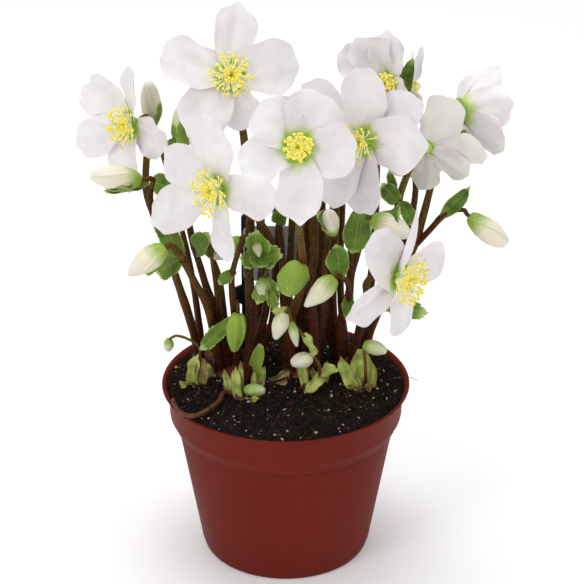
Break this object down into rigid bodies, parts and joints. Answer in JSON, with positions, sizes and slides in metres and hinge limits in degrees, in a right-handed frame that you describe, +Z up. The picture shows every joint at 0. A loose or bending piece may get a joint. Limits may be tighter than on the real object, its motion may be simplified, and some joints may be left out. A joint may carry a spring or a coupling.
{
  "type": "potted hellebore plant",
  "caption": "White-flowered hellebore with open blooms, closed buds and toothed bracts on speckled stems, growing in a round terracotta-coloured plastic nursery pot.",
  "frame": {"origin": "centre of the pot's flat underside", "axes": "+Z up; -Y is the front, which the open blooms face; +X is to the right of someone who looks at the front"},
  "size_m": [0.2578, 0.1682, 0.3443],
  "materials": {
    "pot_plastic": "satin",
    "peat": "matte",
    "dark_plastic": "satin",
    "card": "satin",
    "tepal": "matte",
    "nectary": "satin",
    "stamen": "matte",
    "stem": "satin",
    "bract": "satin",
    "bud": "satin"
  },
  "bodies": {
    "root": {"pot": "pot_plastic", "soil": "peat", "tag_frame": "dark_plastic", "tag_card": "card", "bloom_1_tepals": "tepal", "bloom_1_nectaries": "nectary", "bloom_1_stamens": "stamen", "bloom_2_tepals": "tepal", "bloom_2_nectaries": "nectary", "bloom_2_stamens": "stamen", "bloom_3_tepals": "tepal", "bloom_3_nectaries": "nectary", "bloom_3_stamens": "stamen", "bloom_4_tepals": "tepal", "bloom_4_nectaries": "nectary", "bloom_4_stamens": "stamen", "bloom_5_tepals": "tepal", "bloom_5_nectaries": "nectary", "bloom_5_stamens": "stamen", "bloom_6_tepals": "tepal", "bloom_6_nectaries": "nectary", "bloom_6_stamens": "stamen", "bloom_7_tepals": "tepal", "bloom_7_nectaries": "nectary", "bloom_7_stamens": "stamen", "bloom_8_tepals": "tepal", "bloom_8_nectaries": "nectary", "bloom_8_stamens": "stamen", "bloom_9_tepals": "tepal", "bloom_9_nectaries": "nectary", "bloom_9_stamens": "stamen", "bloom_10_tepals": "tepal", "bloom_10_nectaries": "nectary", "bloom_10_stamens": "stamen", "stems_left": "stem", "stems_midLeft": "stem", "stems_midRight": "stem", "stems_right": "stem", "bracts_bud_1": "bract", "bracts_bud_4": "bract", "bracts_mid": "bract", "bracts_round": "bract", "leaf_big": "bract", "leaf_bud_7": "bract", "bracts_bloom_8": "bract", "bract_bloom_7": "bract", "leaf_bud_5": "bract", "bud_1": "bud", "bud_2": "bud", "bud_3": "bud", "bud_4": "bud", "bud_5": "bud", "bud_6": "bud", "bud_7": "bud", "bud_8": "bud", "bud_9": "bud", "spray_left": "bract", "spray_far_left": "bract", "spray_middle": "bract", "spray_right": "bract"}
  },
  "joints": []
}
